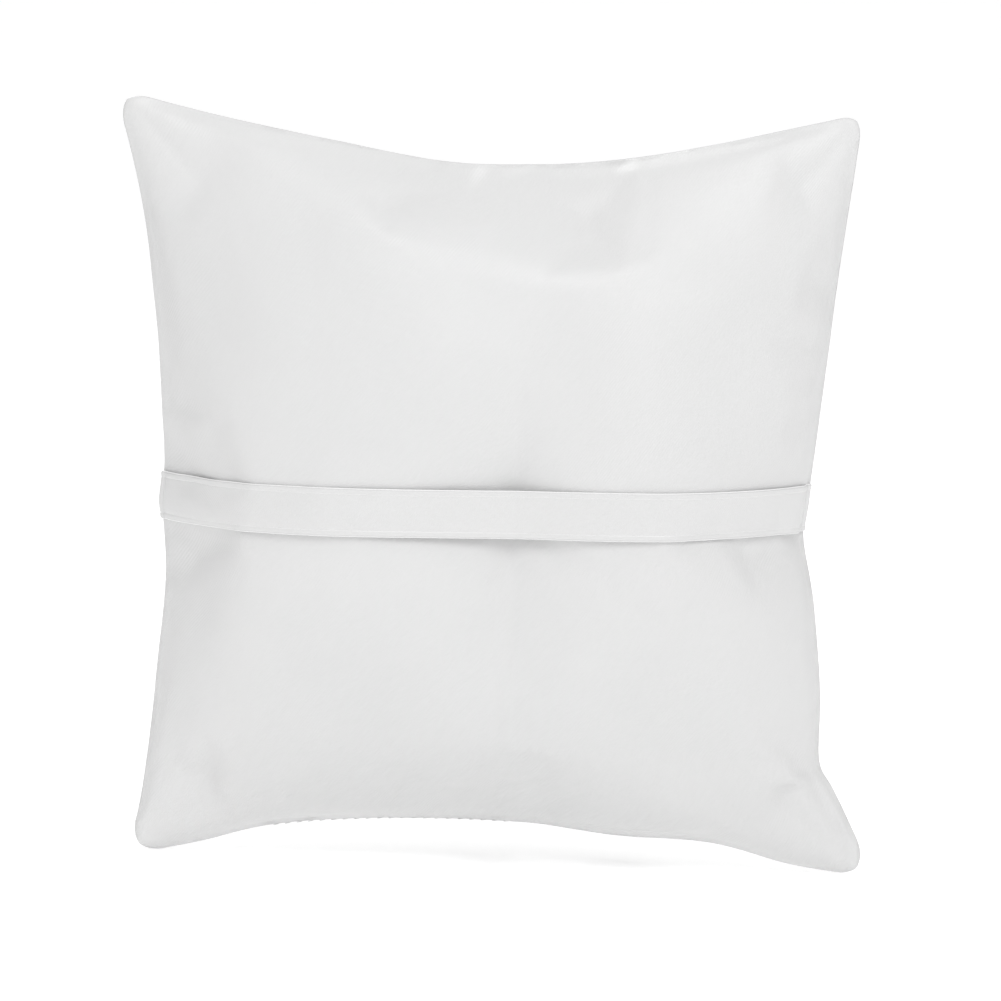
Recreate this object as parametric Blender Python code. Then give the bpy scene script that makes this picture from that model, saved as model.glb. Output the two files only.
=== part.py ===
"""A ring bearer pillow: a filled satin pillow standing on its lower edge.

The back, with the hand strap across it, faces -Y. The front, with the ribbon bow that the rings are
tied to, faces +Y. Z is up. The origin is under the middle of the pillow, on the surface it stands on.
"""

import math
from functools import lru_cache
from itertools import accumulate

import bmesh
import bpy
from mathutils import Vector

MM = 0.001

# Outline of the seam, seen from the back: points along each side in mm, corner to corner.
# The cloth was cut as a 200 mm square. The filling and the strap pull the sides in.
TOP = [(-100.2, 196.6), (-80.5, 194), (-53.5, 189), (-16, 183), (14, 183.4), (41, 187), (75, 195), (91.6, 198)]
BOTTOM = [(-90.2, 0), (-74, 2), (-52.5, 7.6), (-23, 10.3), (10, 10.4), (36, 7.8), (60.5, 6.6), (81, 1.8), (100.2, 0)]
LEFT = [(-90.2, 0), (-88.6, 18), (-86, 50), (-84.6, 70), (-85.2, 94), (-86.2, 112), (-89, 138), (-94, 170), (-100.2, 196.6)]
RIGHT = [(100.2, 0), (94, 17), (89.2, 30), (87, 55), (84.4, 74), (82.2, 95), (84.2, 118), (88, 157), (91.6, 198)]

# Depth of the filled pillow, each side of the seam
CROWN = 37.0 * MM          # height of the plain crown, before the tack pulls it in
FULLNESS = 0.6             # how steeply the crown rises from the seam
TACK_AT = (0.08, -0.05)    # place of the tack, as fractions of the half width and half height
DIMPLE = (9.5 * MM, 0.38)  # depth and spread of the dip round the tack
VALLEY = (6.0 * MM, 0.27)  # depth and half width of the upright valley through the tack

# Cloth and thread
CLOTH = 0.6 * MM
RIBBON = 0.7 * MM
RIBBON_WIDTH = 12.0 * MM
GAP = 0.3 * MM                       # left between pieces that touch
SEAM_GAP = RIBBON + 2 * GAP          # between the panels at the seam, where the strap ends enter
SEAM_THREAD = 0.3 * MM               # radius
CLOSING_THREAD = 0.2 * MM            # radius
TACK_THREAD = 0.9 * MM               # radius of the bundle of strands
TACK_HOLE = 1.3 * MM                 # radius of the hole that it pulls open

# Strap
STRAP_Z = (93.4 * MM, 96.2 * MM)     # height of its middle line at the left and right seams
STRAP_MIDDLE = 50.0 * MM             # length of the part that lifts
STRAP_TAB = 1.5 * MM                 # caught inside the seam

# Bow
KNOT = (9.0 * MM, 6.5 * MM, 11.0 * MM)
LOOP_LENGTH = 36.0 * MM
LOOP_HEIGHT = 9.0 * MM
TAIL_LENGTH = 66.0 * MM
TAIL_SPLAY = math.radians(11)
TAIL_SPACE = 6.8 * MM                # from the tack across to the middle of each tail's top
TAIL_DROP = 7.7 * MM                 # from the tack down to the tails' tops
TAIL_NOTCH = 5.0 * MM                # depth of the V cut in each tail's end

# Fineness
PANEL_CELLS = 22
FILLING_INSET = 1                    # rows of cells left empty round the filling
THREAD_STEPS = 18                    # points along each side of the seam thread

COLOURS = {
    "white_satin": ((0.80, 0.80, 0.80), 0.42),
    "satin_ribbon": ((0.84, 0.84, 0.84), 0.35),
    "white_thread": ((0.78, 0.78, 0.78), 0.60),
    "polyester_fibre": ((0.86, 0.86, 0.86), 0.90),
}


# ---------------------------------------------------------------- shape of the pillow

def beyond(p, q):
    """The point as far past q as q is from p."""
    return tuple(2 * b - a for a, b in zip(p, q))


def along(points, t):
    """The point at fraction t of the way along a smooth curve through the points."""
    steps = [math.dist(p, q) for p, q in zip(points, points[1:])]
    marks = [0.0, *accumulate(steps)]
    reach = t * marks[-1]
    i = max(k for k in range(len(steps)) if marks[k] <= reach + 1e-9)
    s = (reach - marks[i]) / steps[i]
    p1, p2 = points[i], points[i + 1]
    p0 = points[i - 1] if i else beyond(p2, p1)
    p3 = points[i + 2] if i + 2 < len(points) else beyond(p1, p2)
    return tuple(
        0.5 * (2 * b + (c - a) * s + (2 * a - 5 * b + 4 * c - d) * s * s + (3 * b - a - 3 * c + d) * s ** 3)
        for a, b, c, d in zip(p0, p1, p2, p3)
    )


@lru_cache(maxsize=None)
def flat_place(a, b):
    """X and Z of the cloth at a across and b up, each from -1 to 1, inside the four sides."""
    u, v = (a + 1) / 2, (b + 1) / 2
    low, high, left, right = along(BOTTOM, u), along(TOP, u), along(LEFT, v), along(RIGHT, v)
    place = []
    for k in (0, 1):
        sides = (1 - v) * low[k] + v * high[k] + (1 - u) * left[k] + u * right[k]
        corners = (
            (1 - u) * ((1 - v) * BOTTOM[0][k] + v * TOP[0][k])
            + u * ((1 - v) * BOTTOM[-1][k] + v * TOP[-1][k])
        )
        place.append((sides - corners) * MM)
    return place


def depth(a, b):
    """Half thickness of the pillow at a across and b up."""
    plump = (max(0.0, 1 - a * a) * max(0.0, 1 - b * b)) ** FULLNESS
    da, db = a - TACK_AT[0], b - TACK_AT[1]
    dip = DIMPLE[0] * math.exp(-(da * da + db * db) / DIMPLE[1] ** 2)
    crease = VALLEY[0] * math.exp(-(da / VALLEY[1]) ** 2) * (1 - b * b)
    return CROWN * plump - (dip + crease) * plump


def share(x, z):
    """The a and b whose flat place is x, z, found by stepping towards it."""
    a, b = x / (90 * MM), z / (98 * MM) - 1
    for _ in range(25):
        px, pz = flat_place(a, b)
        a = min(1, max(-1, a + (x - px) / (90 * MM)))
        b = min(1, max(-1, b + (z - pz) / (98 * MM)))
    return a, b


def cell_of(t):
    """The stations either side of t, and the fraction of the way between them."""
    row = stations()
    i = max(k for k in range(PANEL_CELLS) if row[k] <= t + 1e-9)
    return row[i], row[i + 1], (t - row[i]) / (row[i + 1] - row[i])


@lru_cache(maxsize=None)
def face_depth(x, z):
    """Distance from the seam's plane to a panel's outer face over the point x, z.

    It follows the panel's own flat facets, so that what lies on a panel clears them.
    """
    a, b = share(x, z)
    a0, a1, s = cell_of(a)
    b0, b1, t = cell_of(b)
    low = depth(a0, b0) + s * (depth(a1, b0) - depth(a0, b0))
    high = depth(a0, b1) + s * (depth(a1, b1) - depth(a0, b1))
    return SEAM_GAP / 2 + CLOTH + low + t * (high - low)


def back_reach():
    """The furthest the strap stands out behind the seam's plane."""
    lines = [strap_profile(w * RIBBON_WIDTH / 2) for w in (-1, 0, 1)]
    return max(d for line in lines for _, d in line) + RIBBON / 2


def front_reach():
    """The furthest the bow stands out in front of the seam's plane."""
    return max(y for side in (-1, 1) for _, y in loop_outline(side)) + RIBBON / 2


# ---------------------------------------------------------------- making objects

def material(name):
    if name in bpy.data.materials:
        return bpy.data.materials[name]
    colour, roughness = COLOURS[name]
    finish = bpy.data.materials.new(name)
    finish.use_nodes = True
    shader = finish.node_tree.nodes["Principled BSDF"]
    shader.inputs["Base Color"].default_value = (*colour, 1)
    shader.inputs["Roughness"].default_value = roughness
    shader.inputs["Metallic"].default_value = 0.0
    return finish


def add_object(name, verts, faces, finish, parent, origin=(0, 0, 0)):
    """One closed object, its points given relative to the seam's plane, its origin at origin."""
    mesh = bpy.data.meshes.new(name)
    shift = Vector(origin)
    mesh.from_pydata([Vector(v) - shift for v in verts], [], faces)
    bm = bmesh.new()
    bm.from_mesh(mesh)
    bmesh.ops.recalc_face_normals(bm, faces=bm.faces)
    bmesh.ops.triangulate(bm, faces=[f for f in bm.faces if len(f.verts) > 3])
    bm.to_mesh(mesh)
    bm.free()
    mesh.shade_smooth()
    mesh.set_sharp_from_angle(angle=math.radians(40))
    mesh.materials.append(material(finish))
    ob = bpy.data.objects.new(name, mesh)
    bpy.context.scene.collection.objects.link(ob)
    ob.parent = parent
    ob.location = origin
    return ob


def grid_faces(rows, columns, first=0):
    """Quads over a grid of rows by columns points, numbered from first."""
    quads = []
    for i in range(rows - 1):
        for j in range(columns - 1):
            p = first + i * columns + j
            quads.append((p, p + 1, p + columns + 1, p + columns))
    return quads


def ring_of(rows, columns):
    """Numbers of the points round the edge of a grid, in order."""
    right = [i * columns + columns - 1 for i in range(1, rows)]
    top = [(rows - 1) * columns + j for j in range(columns - 2, -1, -1)]
    left = [i * columns for i in range(rows - 2, 0, -1)]
    return list(range(columns)) + right + top + left


def two_skins(outer, inner, rows, columns):
    """Points and faces of a closed body between two grids of points."""
    count = len(outer)
    faces = grid_faces(rows, columns)
    faces += [tuple(reversed(f)) for f in grid_faces(rows, columns, count)]
    ring = ring_of(rows, columns)
    for p, q in zip(ring, ring[1:] + ring[:1]):
        faces.append((q, p, p + count, q + count))
    return list(outer) + list(inner), faces


def tube(points, radius, closed, sides=6):
    """Points and faces of a round thread along the points."""
    count = len(points)
    verts, faces = [], []
    for i, p in enumerate(points):
        before = points[i - 1] if closed or i else p
        after = points[(i + 1) % count] if closed or i < count - 1 else p
        way = (Vector(after) - Vector(before)).normalized()
        side = way.cross(Vector((0, 1, 0))).normalized()
        up = side.cross(way)
        for k in range(sides):
            turn = 2 * math.pi * k / sides
            verts.append(Vector(p) + radius * (math.cos(turn) * side + math.sin(turn) * up))
    for i in range(count if closed else count - 1):
        j = (i + 1) % count
        for k in range(sides):
            m = (k + 1) % sides
            faces.append((i * sides + k, i * sides + m, j * sides + m, j * sides + k))
    if not closed:
        faces.append(tuple(range(sides)))
        faces.append(tuple((count - 1) * sides + k for k in range(sides)))
    return verts, faces


@lru_cache(maxsize=None)
def stations(skip=0):
    """Fractions from -1 to 1, closer together towards the seam, without the outermost ones."""
    even = [2 * i / PANEL_CELLS - 1 for i in range(PANEL_CELLS + 1)]
    row = [0.5 * t + 0.5 * math.sin(math.pi / 2 * t) for t in even]
    return row[skip:len(row) - skip]


def bore_for_tack(ob, parent):
    """Open the hole that the tack passes through."""
    x, z = flat_place(*TACK_AT)
    bpy.ops.mesh.primitive_cylinder_add(vertices=12, radius=TACK_HOLE, depth=4 * CROWN)
    cutter = bpy.context.object
    cutter.name = "tack_hole_cutter_" + ob.name
    cutter.parent = parent
    cutter.rotation_euler = (math.pi / 2, 0, 0)
    cutter.location = (x, 0, z)
    cutter.hide_render = True
    cutter.display_type = "WIRE"
    cut = ob.modifiers.new("tack hole", "BOOLEAN")
    cut.operation = "DIFFERENCE"
    cut.object = cutter


# ---------------------------------------------------------------- the pillow

def make_panel(name, side, parent):
    """A satin panel, side -1 at the back and 1 at the front, open only at the tack's hole."""
    row = stations()
    outer, inner = [], []
    for b in row:
        for a in row:
            x, z = flat_place(a, b)
            rise = SEAM_GAP / 2 + depth(a, b)
            outer.append((x, side * (rise + CLOTH), z))
            inner.append((x, side * rise, z))
    verts, faces = two_skins(outer, inner, len(row), len(row))
    panel = add_object(name, verts, faces, "white_satin", parent)
    bore_for_tack(panel, parent)


def make_filling(parent):
    """The fibre filling, clear of both panels and of the seam thread."""
    clearance = 1.3 * MM
    row = stations(FILLING_INSET)
    front, back = [], []
    for b in row:
        for a in row:
            x, z = flat_place(a, b)
            rise = max(SEAM_GAP / 2, SEAM_GAP / 2 + depth(a, b) - clearance)
            front.append((x, rise, z))
            back.append((x, -rise, z))
    verts, faces = two_skins(front, back, len(row), len(row))
    filling = add_object("fibre_filling", verts, faces, "polyester_fibre", parent)
    bore_for_tack(filling, parent)


def make_seam_thread(parent):
    """The thread of the machine seam, a closed ring just inside the turned edge."""
    inset = 0.966
    row = [inset * (2 * i / THREAD_STEPS - 1) for i in range(THREAD_STEPS)]
    loop = [(t, -inset) for t in row] + [(inset, t) for t in row]
    loop += [(-t, inset) for t in row] + [(-inset, -t) for t in row]
    points = [(x, 0, z) for x, z in (flat_place(a, b) for a, b in loop)]
    verts, faces = tube(points, SEAM_THREAD, closed=True)
    add_object("seam_thread", verts, faces, "white_thread", parent)


def make_closing_thread(parent):
    """Hand stitching between the panels along the lower edge, in and out like a ladder."""
    first, last, stitches = -0.62, 0.02, 16
    points = []
    for i in range(stitches + 1):
        a = first + (last - first) * i / stitches
        inside = 0.994 if i % 2 else 0.982
        x, z = flat_place(a, -inside)
        points.append((x, 0, z))
    verts, faces = tube(points, CLOSING_THREAD, closed=False)
    add_object("closing_thread", verts, faces, "white_thread", parent)


def make_centre_tack(parent):
    """The strands through the middle, with a flat stitch on the back panel."""
    x, z = flat_place(*TACK_AT)
    head_radius, head_depth = 2.5 * MM, 1.2 * MM
    near = [(x + i * head_radius, z + j * head_radius) for i in (-1, 0, 1) for j in (-1, 0, 1)]
    face = max(face_depth(*place) for place in near)
    back = -(face + GAP)
    profile = [(0, back - head_depth), (head_radius, back - 0.6 * head_depth), (head_radius, back)]
    profile += [(TACK_THREAD, back), (TACK_THREAD, face), (0, face)]
    sides = 12
    verts = [(x, profile[0][1], z)]
    for r, y in profile[1:-1]:
        for k in range(sides):
            turn = 2 * math.pi * k / sides
            verts.append((x + r * math.cos(turn), y, z + r * math.sin(turn)))
    verts.append((x, profile[-1][1], z))
    faces = []
    rings = len(profile) - 2
    for k in range(sides):
        m = (k + 1) % sides
        faces.append((0, 1 + k, 1 + m))
        for i in range(rings - 1):
            p = 1 + i * sides
            faces.append((p + k, p + sides + k, p + sides + m, p + m))
        p = 1 + (rings - 1) * sides
        faces.append((p + k, len(verts) - 1, p + m))
    add_object("centre_tack", verts, faces, "white_thread", parent)


# ---------------------------------------------------------------- the strap

def strap_height(x):
    """Height of the strap's middle line at x."""
    (x0, _), (x1, _) = flat_place(-1, 0), flat_place(1, 0)
    t = (x - x0) / (x1 - x0)
    return STRAP_Z[0] + t * (STRAP_Z[1] - STRAP_Z[0])


def seam_x(side, z):
    """X of the left (-1) or right (1) seam at height z, on the panels' straight facets."""
    seam = [flat_place(side, b) for b in stations()]
    for (x0, z0), (x1, z1) in zip(seam, seam[1:]):
        if z0 <= z <= z1:
            return x0 + (x1 - x0) * (z - z0) / (z1 - z0)


@lru_cache(maxsize=None)
def strap_profile(across):
    """Points x, depth of the strap's mid thickness along its line, pulled taut over the hollows.

    across shifts the line up by a part of the ribbon's width.
    """
    lift = 2 * GAP + RIBBON / 2
    left = seam_x(-1, strap_height(-85 * MM) + across)
    right = seam_x(1, strap_height(82 * MM) + across)
    count = 44
    surface = []
    for i in range(1, count):
        x = left + (right - left) * (1 - math.cos(math.pi * i / count)) / 2
        z = strap_height(x) + across
        step = 0.4 * MM
        slope = (face_depth(x + step, z) - face_depth(x - step, z)) / (2 * step)
        off = lift / math.hypot(1, slope)
        surface.append((x - slope * off, face_depth(x, z) + off))
    taut = []
    for p in surface:
        while len(taut) > 1 and cross(taut[-2], taut[-1], p) >= 0:
            taut.pop()
        taut.append(p)
    return taut


def cross(o, p, q):
    """Positive where the turn from o over p to q is to the left."""
    return (p[0] - o[0]) * (q[1] - o[1]) - (p[1] - o[1]) * (q[0] - o[0])


def strap_middle_span():
    x = flat_place(*TACK_AT)[0]
    return x - STRAP_MIDDLE / 2, x + STRAP_MIDDLE / 2


def make_hand_strap(parent, pivot):
    """The flat middle of the strap, which lifts off the back to let a hand through."""
    x0, x1 = strap_middle_span()
    outer_y = -back_reach()
    corners = []
    for y in (outer_y, outer_y + RIBBON):
        for x, w in ((x0, -1), (x1, -1), (x1, 1), (x0, 1)):
            corners.append((x, y, strap_height(x) + w * RIBBON_WIDTH / 2))
    faces = [(0, 1, 2, 3), (7, 6, 5, 4), (0, 4, 5, 1), (1, 5, 6, 2), (2, 6, 7, 3), (3, 7, 4, 0)]
    add_object("hand_strap", corners, faces, "satin_ribbon", parent, pivot)


def strap_end_line(side, across):
    """Points x, y along one end of the strap, from inside the seam to the lifting middle."""
    profile = strap_profile(across)
    stop = strap_middle_span()[0 if side < 0 else 1] + side * GAP
    edge = seam_x(side, strap_height(side * 84 * MM) + across)
    clear = 2 * GAP + RIBBON / 2
    rim = SEAM_GAP / 2 + CLOTH
    line = [(edge - side * STRAP_TAB, 0.0), (edge, 0.0), (edge + side * 0.75 * clear, -0.25 * clear)]
    line += [(edge + side * clear, -clear), (edge + side * clear, -rim)]
    outer = [p for p in profile if (p[0] < stop if side < 0 else p[0] > stop)]
    outer.sort(key=lambda p: -side * p[0])
    for x, d in outer:
        if d > rim + clear:
            line.append((x, -d))
    line.append((stop, -back_reach() + RIBBON / 2))
    return line


def thicken(line, half):
    """Left and right sides of a line of x, y points, half apart from it."""
    lefts, rights = [], []
    for i, p in enumerate(line):
        before, after = line[max(i - 1, 0)], line[min(i + 1, len(line) - 1)]
        dx, dy = after[0] - before[0], after[1] - before[1]
        size = math.hypot(dx, dy)
        lefts.append((p[0] - dy / size * half, p[1] + dx / size * half))
        rights.append((p[0] + dy / size * half, p[1] - dx / size * half))
    return lefts, rights


def resample(line, count):
    """The same line with count points spaced evenly along it."""
    marks = [0.0, *accumulate(math.dist(p, q) for p, q in zip(line, line[1:]))]
    out = []
    for i in range(count):
        reach = marks[-1] * i / (count - 1)
        k = max(j for j in range(len(line) - 1) if marks[j] <= reach + 1e-12)
        s = (reach - marks[k]) / (marks[k + 1] - marks[k])
        out.append(tuple(p + (q - p) * s for p, q in zip(line[k], line[k + 1])))
    return out


def make_strap_end(name, side, parent):
    """The end of the strap from the side seam to the middle, lying on the back panel."""
    count = 30
    upper, lower = [], []
    for across in (-1, -0.33, 0.33, 1):
        shift = across * RIBBON_WIDTH / 2
        line = strap_end_line(side, shift)
        head, rest = line[:5], resample(line[4:], count)[1:]
        lefts, rights = thicken(head + rest, RIBBON / 2)
        upper += [(x, y, strap_height(x) + shift) for x, y in lefts]
        lower += [(x, y, strap_height(x) + shift) for x, y in rights]
    verts, faces = two_skins(upper, lower, 4, count + 4)
    add_object(name, verts, faces, "satin_ribbon", parent)


# ---------------------------------------------------------------- the bow

def knot_base():
    """Depth of the knot's inner face: just clear of the front panel all over the knot."""
    x, z = flat_place(*TACK_AT)
    half_x, half_z = KNOT[0] / 2, KNOT[2] / 2
    places = [(x + i * half_x, z + j * half_z) for i in (-1, 0, 1) for j in (-1, 0, 1)]
    return max(face_depth(px, pz) for px, pz in places) + GAP


def make_bow_knot(parent):
    """The ribbon wrapped round the middle of the bow."""
    x, z = flat_place(*TACK_AT)
    mesh = bpy.data.meshes.new("bow_knot")
    bm = bmesh.new()
    bmesh.ops.create_cube(bm, size=1)
    for v in bm.verts:
        v.co = [c * size for c, size in zip(v.co, KNOT)]
    bmesh.ops.bevel(bm, geom=bm.edges[:], offset=1.2 * MM, segments=2, affect="EDGES", profile=0.5)
    bm.to_mesh(mesh)
    bm.free()
    mesh.materials.append(material("satin_ribbon"))
    knot = bpy.data.objects.new("bow_knot", mesh)
    bpy.context.scene.collection.objects.link(knot)
    knot.parent = parent
    knot.location = (x, knot_base() + KNOT[1] / 2, z)


def loop_outline(side):
    """Points x, y round the middle of a bow loop's ribbon, its inner run lying on the front panel."""
    x0, z0 = flat_place(*TACK_AT)
    start = KNOT[0] / 2 + GAP + RIBBON
    base = knot_base()
    steps = 12
    inner, outer = [], []
    for i in range(steps + 1):
        t = i / steps
        out = start + t * LOOP_LENGTH
        x = x0 + side * out
        near = [face_depth(x, z0 + w * RIBBON_WIDTH / 2) for w in (-1, 0, 1)]
        rest = max(*near, base) + GAP + RIBBON
        tall = 2.2 * MM + LOOP_HEIGHT * math.sin(math.pi * min(1, t * 0.93)) ** 0.8
        inner.append((x, rest))
        outer.append((x, rest + tall))
    return inner + outer[::-1]


def make_bow_loop(name, side, parent):
    """One loop of the bow: a ribbon turned back on itself, open through the middle."""
    z0 = flat_place(*TACK_AT)[1]
    path = loop_outline(side)
    count = len(path)
    skins = {-1: [], 1: []}
    for i, p in enumerate(path):
        before, after = path[i - 1], path[(i + 1) % count]
        dx, dy = after[0] - before[0], after[1] - before[1]
        size = math.hypot(dx, dy)
        for sign in (-1, 1):
            skins[sign].append((p[0] - sign * dy / size * RIBBON / 2, p[1] + sign * dx / size * RIBBON / 2))
    verts = []
    for sign in (-1, 1):
        for w in (-1, 1):
            for x, y in skins[sign]:
                verts.append((x, y, z0 + w * RIBBON_WIDTH / 2))
    faces = []
    for i in range(count):
        j = (i + 1) % count
        faces.append((i, j, count + j, count + i))
        faces.append((2 * count + j, 2 * count + i, 3 * count + i, 3 * count + j))
        faces.append((j, i, 2 * count + i, 2 * count + j))
        faces.append((count + i, count + j, 3 * count + j, 3 * count + i))
    add_object(name, verts, faces, "satin_ribbon", parent)


def tail_place(side, reach, across):
    """X and Z of a point reach down a tail and across its width. Its top edge is level."""
    x0, z0 = flat_place(*TACK_AT)
    lean = side * TAIL_SPLAY
    tilt = min(1.0, reach / RIBBON_WIDTH)
    x = x0 + side * TAIL_SPACE + reach * math.sin(lean) + across * math.cos(lean)
    z = z0 - TAIL_DROP - reach * math.cos(lean) + tilt * across * math.sin(lean)
    return x, z


def tail_rise(side, reach):
    """Depth of a tail's inner face: it rests on the front as far as the crown, then hangs."""
    steps = 12
    met = [reach * i / steps for i in range(steps + 1)]
    spots = [tail_place(side, r, w * RIBBON_WIDTH / 2) for r in met for w in (-1, 0, 1)]
    return max(face_depth(x, z) for x, z in spots) + 2 * GAP


def make_bow_tail(name, side, parent):
    """One tail of the bow, turning about its top edge, with a V cut at its end."""
    count = 16
    outer, inner = [], []
    for i in range(count + 1):
        reach = TAIL_LENGTH * i / count
        rise = tail_rise(side, reach)
        for w in (-1, 0, 1):
            end = reach - TAIL_NOTCH * (1 - abs(w)) * (i == count)
            x, z = tail_place(side, end, w * RIBBON_WIDTH / 2)
            outer.append((x, rise + RIBBON, z))
            inner.append((x, rise, z))
    verts, faces = two_skins(outer, inner, count + 1, 3)
    top_x, top_z = tail_place(side, 0, 0)
    add_object(name, verts, faces, "satin_ribbon", parent, (top_x, tail_rise(side, 0) + RIBBON / 2, top_z))


def main():
    for ob in list(bpy.data.objects):
        bpy.data.objects.remove(ob)

    pillow = bpy.data.objects.new("pillow", None)
    bpy.context.scene.collection.objects.link(pillow)
    pillow.location = (0, (back_reach() - front_reach()) / 2, 0)

    make_panel("back_panel", -1, pillow)
    make_panel("front_panel", 1, pillow)
    make_filling(pillow)
    make_seam_thread(pillow)
    make_closing_thread(pillow)
    make_centre_tack(pillow)

    tack_x = flat_place(*TACK_AT)[0]
    make_hand_strap(pillow, (tack_x, -back_reach() + RIBBON / 2, strap_height(tack_x)))
    make_strap_end("strap_end_left", -1, pillow)
    make_strap_end("strap_end_right", 1, pillow)

    make_bow_knot(pillow)
    make_bow_loop("bow_loop_left", -1, pillow)
    make_bow_loop("bow_loop_right", 1, pillow)
    make_bow_tail("bow_tail_left", -1, pillow)
    make_bow_tail("bow_tail_right", 1, pillow)


main()
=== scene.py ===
"""Looks of the ring bearer pillow: the filled satin cover with its fibre, the hand strap across its
back, the ribbon bow on its front, and the stitches. Millimetres are turned to metres with MM."""

import math

import bmesh
import bpy
import numpy as np
from mathutils import Matrix, Vector
from mathutils.bvhtree import BVHTree


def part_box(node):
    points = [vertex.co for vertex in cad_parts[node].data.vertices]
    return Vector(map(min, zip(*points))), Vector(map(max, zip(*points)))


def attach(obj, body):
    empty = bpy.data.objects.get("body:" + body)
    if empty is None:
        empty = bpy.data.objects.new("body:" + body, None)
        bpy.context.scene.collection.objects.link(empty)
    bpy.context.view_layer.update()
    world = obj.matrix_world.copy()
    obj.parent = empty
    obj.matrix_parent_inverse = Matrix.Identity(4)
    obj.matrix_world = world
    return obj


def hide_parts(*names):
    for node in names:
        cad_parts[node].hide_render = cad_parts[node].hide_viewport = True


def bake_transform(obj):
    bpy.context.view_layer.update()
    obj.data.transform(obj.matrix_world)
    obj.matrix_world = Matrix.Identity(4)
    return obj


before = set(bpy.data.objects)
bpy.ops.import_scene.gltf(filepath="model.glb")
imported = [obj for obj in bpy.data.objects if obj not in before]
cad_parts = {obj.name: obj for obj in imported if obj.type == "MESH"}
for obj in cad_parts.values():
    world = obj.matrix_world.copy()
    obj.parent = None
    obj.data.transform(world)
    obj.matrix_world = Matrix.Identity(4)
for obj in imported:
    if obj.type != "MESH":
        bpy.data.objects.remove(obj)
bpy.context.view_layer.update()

MM = 0.001

# The seam's outline, seen from the back, in mm from the middle of the floor under the pillow
TOP = [
    (-102.0, 199.2), (-80.5, 194), (-53.5, 189), (-16, 183), (14, 183.4), (41, 187), (75, 195),
    (92.8, 199.6),
]
BOTTOM = [
    (-92.6, -2.4), (-74, 2), (-52.5, 7.6), (-23, 10.3), (10, 10.4), (36, 7.8), (60.5, 6.6),
    (81, 1.8), (101.6, -1.0),
]
LEFT = [
    (-92.6, -2.4), (-88.8, 18), (-86, 50), (-84.6, 70), (-85.6, 86), (-86.4, 92), (-85.9, 100),
    (-86.6, 112), (-89, 138), (-94, 170), (-102.0, 199.2),
]
RIGHT = [
    (101.6, -1.0), (99.4, 7.8), (95.4, 16.3), (91.4, 23.6), (88.1, 29.5), (87.8, 44), (86.8, 55),
    (84.4, 74), (81.9, 86), (81.5, 90.5), (82.4, 98), (84.2, 118), (88, 157), (92.8, 199.6),
]
# How much of each corner is rounded off, as a fraction of half the cut
CORNER_ROUND = {(-1, 1): 0.105, (1, 1): 0.075, (-1, -1): 0.110, (1, -1): 0.085}

# The two sides of the pillow, and the two ways from its middle
BACK, FRONT = -1, 1
LEFTWARD, RIGHTWARD = -1, 1

# The cover. Places on it are fractions of half the cut, from the middle of the square.
CELLS = 84                  # cells along each side of a panel
CROWDING = 0.35             # how much closer together they are near the seam
CUT = 200 * MM              # each panel is cut as a square of this size, seam to seam
CROWN = 37.0 * MM           # half thickness before the tack pulls the middle in
FULLNESS = 0.6              # lower is flatter on top and steeper at the seam
TACK = (0.08, -0.05)        # the tack's place
TACK_SIZE = 0.03            # the cloth that it holds still
DIMPLE = {BACK: (2.4 * MM, 0.42), FRONT: (8.0 * MM, 0.36)}     # depth and spread
LOW = {BACK: 0.06, FRONT: 0.0}                                 # how far below the tack it is deepest
VALLEY = {BACK: (3.3 * MM, 0.25), FRONT: (6.0 * MM, 0.27)}     # depth and half width of the furrow
RIM = 1.0 * MM              # half thickness of the turned seam round the edge
RIM_EDGE = 0.3              # how thick its very edge is, as a share of that
RIM_WIDTH = 0.02
AT_SEAM = 0.9999            # points beyond this lie on the seam
WELD = 0.01 * MM            # points closer than this become one

# How the filled cover settles
SETTLING_STEPS = 20
RIM_MOVE = 0.4 * MM         # the furthest that cloth beside the seam may move
FREE_MOVE = 4.0 * MM        # and cloth away from it
MOVE_REACH = 0.22           # how far in from the seam it is free

# The strap
STRAP_Z = (93.4 * MM, 96.2 * MM)   # height of its middle line at the left and the right seam
STRAP_HALF = 6.0 * MM
STRAP_CLOTH = 0.5 * MM
STRAP_CLEAR = 0.45 * MM     # between its middle line and the cover
STRAP_TAUT = 0.65           # how straight it spans the hollows under it, from 0 to 1
STRAP_CELLS = 260           # cells along each half

# The bow
KNOT = (9.0 * MM, 6.5 * MM, 11.0 * MM)     # width, depth and height
KNOT_WINDING = 28 * MM      # ribbon that goes once round it
RIBBON_HALF = 6.0 * MM
RIBBON_CLOTH = 0.35 * MM
LOOP_LENGTH = 41.0 * MM
LOOP_FULL = 10.5 * MM       # how far it opens, front to back
LOOP_RISE = 0.035           # how much it points up, as a slope
LOOP_CELLS = 96
TAIL_LENGTH = 70.0 * MM
TAIL_NOTCH = 5.0 * MM
TAIL_SPLAY = math.radians(11)
TAIL_ABOVE = 4.2 * MM       # ribbon above its hinge, inside the knot
TAIL_CELLS = 80
HINGES = {
    LEFTWARD: (-1.069 * MM, 22.479 * MM, 84.133 * MM),
    RIGHTWARD: (12.531 * MM, 21.261 * MM, 84.133 * MM),
}
RIBBON_FEEL = (-6.3 * MM, -3 * MM, 0, 3 * MM, 6.3 * MM)   # places across it that rest on the cover

cad_back, cad_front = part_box("back_panel"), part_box("front_panel")
SEAM_Y = (cad_back[1].y + cad_front[0].y) / 2
knot_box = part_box("bow_knot")
KNOT_AT = (knot_box[0] + knot_box[1]) / 2
strap_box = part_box("hand_strap")


# ---------------------------------------------------------------- tools for every piece

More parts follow.
